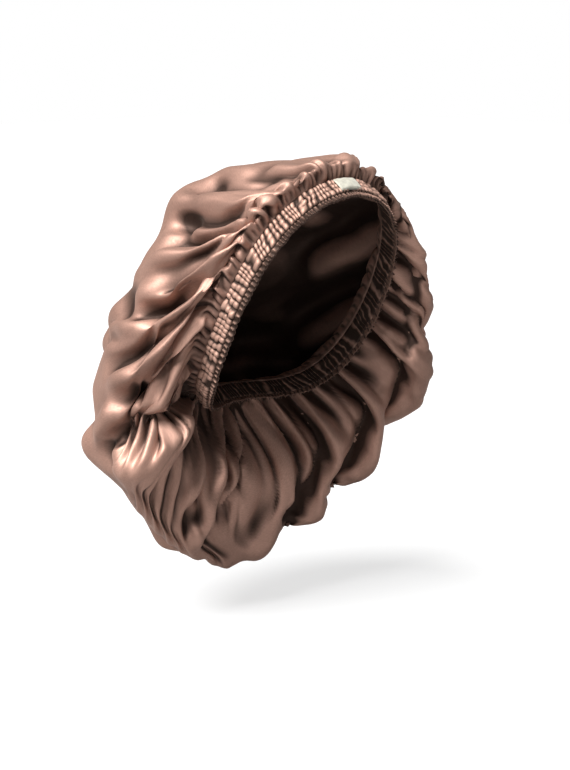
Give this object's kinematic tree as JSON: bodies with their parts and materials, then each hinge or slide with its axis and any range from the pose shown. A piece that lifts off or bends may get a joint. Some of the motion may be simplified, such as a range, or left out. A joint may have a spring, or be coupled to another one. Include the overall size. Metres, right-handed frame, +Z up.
{
  "type": "sleep bonnet",
  "caption": "Slouchy satin sleep bonnet held in its worn shape: a deep folded bag gathered into a ruched elastic casing round the open head hole.",
  "frame": {"origin": "middle of the head opening, between the front and the nape of the elastic casing", "axes": "+Z up as worn, -Y towards the wearer's front, -X towards the wearer's right"},
  "size_m": [0.2622, 0.227, 0.3264],
  "materials": {
    "satin": "glossy mauve-brown satin with soft bright folds",
    "ruched_satin": "the same satin, tightly ruched and stitched in channels",
    "frill_satin": "the same satin, turned over as a narrow frill",
    "woven_tape": "matte cream woven tape, bare"
  },
  "bodies": {
    "root": {"crown": "satin", "elastic_casing": "ruched_satin", "edge_frill": "frill_satin", "label": "woven_tape"}
  },
  "joints": []
}
